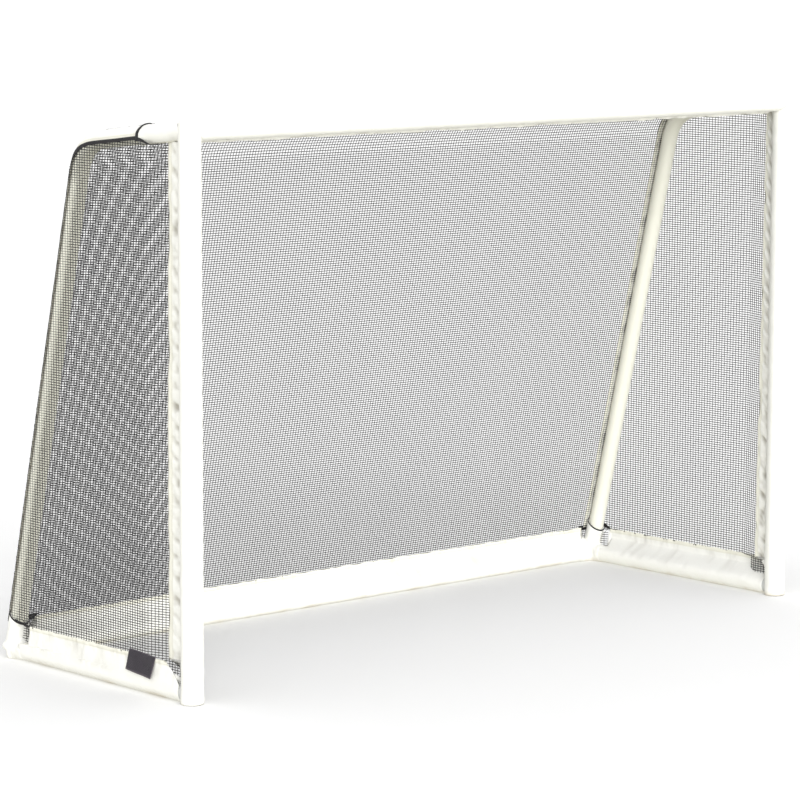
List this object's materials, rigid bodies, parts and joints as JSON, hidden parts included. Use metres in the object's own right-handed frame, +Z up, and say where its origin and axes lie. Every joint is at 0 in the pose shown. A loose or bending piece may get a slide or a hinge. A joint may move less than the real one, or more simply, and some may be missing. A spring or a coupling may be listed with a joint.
{
  "type": "soccer goal frame",
  "caption": "Small free-standing soccer goal: round posts and crossbar in white sleeves, bent side tubes, ground bars and fine black mesh on roof, back and sides.",
  "frame": {"origin": "on the ground, at the middle of the goal's outer box", "axes": "+X along the crossbar to the right as seen from the front, +Y from the mouth to the back, +Z up"},
  "size_m": [1.855, 0.67, 1.22],
  "materials": {
    "white_tube": "white powder coat on steel tube, satin",
    "white_vinyl": "vinyl-coated white cloth, soft sheen",
    "black_mesh": "fine black knotless mesh",
    "black_tape": "black woven binding tape",
    "tag_weave": "black woven tag, blank",
    "corner_plastic": "moulded nylon corner, satin",
    "foot_rubber": "black rubber foot",
    "button_steel": "plated steel button",
    "spring_steel": "spring strip",
    "zinc_steel": "zinc plated steel tube"
  },
  "bodies": {
    "frame": {"back_mesh": "black_mesh", "blank_tag": "tag_weave", "button_springs": "spring_steel", "crossbar_coupler": "zinc_steel", "crossbar_sleeve": "white_vinyl", "left_band_tape": "black_tape", "left_corner_pocket": "white_vinyl", "left_corner_strap": "black_tape", "left_crossbar_half": "white_tube", "left_cuff": "white_vinyl", "left_edge_strip": "white_vinyl", "left_edge_tape": "black_tape", "left_front_elbow": "corner_plastic", "left_front_foot": "foot_rubber", "left_ground_band": "white_vinyl", "left_ground_bar": "white_tube", "left_post": "white_tube", "left_post_sleeve": "white_vinyl", "left_rear_bar_half": "white_tube", "left_rear_corner": "corner_plastic", "left_rear_foot": "foot_rubber", "left_side_mesh": "black_mesh", "left_side_tube": "white_tube", "left_top_corner": "corner_plastic", "rear_band_tape": "black_tape", "rear_bar_coupler": "zinc_steel", "rear_ground_band": "white_vinyl", "right_band_tape": "black_tape", "right_corner_pocket": "white_vinyl", "right_corner_strap": "black_tape", "right_crossbar_half": "white_tube", "right_cuff": "white_vinyl", "right_edge_strip": "white_vinyl", "right_edge_tape": "black_tape", "right_front_elbow": "corner_plastic", "right_front_foot": "foot_rubber", "right_ground_band": "white_vinyl", "right_ground_bar": "white_tube", "right_post": "white_tube", "right_post_sleeve": "white_vinyl", "right_rear_bar_half": "white_tube", "right_rear_corner": "corner_plastic", "right_rear_foot": "foot_rubber", "right_side_mesh": "black_mesh", "right_side_tube": "white_tube", "right_top_corner": "corner_plastic"},
    "crossbar_middle_snap": {"crossbar_middle_button": "button_steel"},
    "left_crossbar_snap": {"left_crossbar_button": "button_steel"},
    "left_side_tube_snap": {"left_side_tube_button": "button_steel"},
    "rear_bar_middle_snap": {"rear_bar_middle_button": "button_steel"},
    "right_crossbar_snap": {"right_crossbar_button": "button_steel"},
    "right_side_tube_snap": {"right_side_tube_button": "button_steel"}
  },
  "joints": [
    {"name": "crossbar_middle_button_press", "type": "slide", "parent": "frame", "child": "crossbar_middle_snap", "axis": [0, 0, 1], "range_m": [0, 0.0034], "stiffness_N_per_m": 1500, "springref_m": -0.001},
    {"name": "left_crossbar_button_press", "type": "slide", "parent": "frame", "child": "left_crossbar_snap", "axis": [0, 0, 1], "range_m": [0, 0.0034], "stiffness_N_per_m": 1500, "springref_m": -0.001},
    {"name": "left_side_tube_button_press", "type": "slide", "parent": "frame", "child": "left_side_tube_snap", "axis": [0, 0.1201, 0.9928], "range_m": [0, 0.0034], "stiffness_N_per_m": 1500, "springref_m": -0.001},
    {"name": "rear_bar_middle_button_press", "type": "slide", "parent": "frame", "child": "rear_bar_middle_snap", "axis": [0, -1, 0], "range_m": [0, 0.0034], "stiffness_N_per_m": 1500, "springref_m": -0.001},
    {"name": "right_crossbar_button_press", "type": "slide", "parent": "frame", "child": "right_crossbar_snap", "axis": [0, 0, 1], "range_m": [0, 0.0034], "stiffness_N_per_m": 1500, "springref_m": -0.001},
    {"name": "right_side_tube_button_press", "type": "slide", "parent": "frame", "child": "right_side_tube_snap", "axis": [0, 0.1201, 0.9928], "range_m": [0, 0.0034], "stiffness_N_per_m": 1500, "springref_m": -0.001}
  ]
}
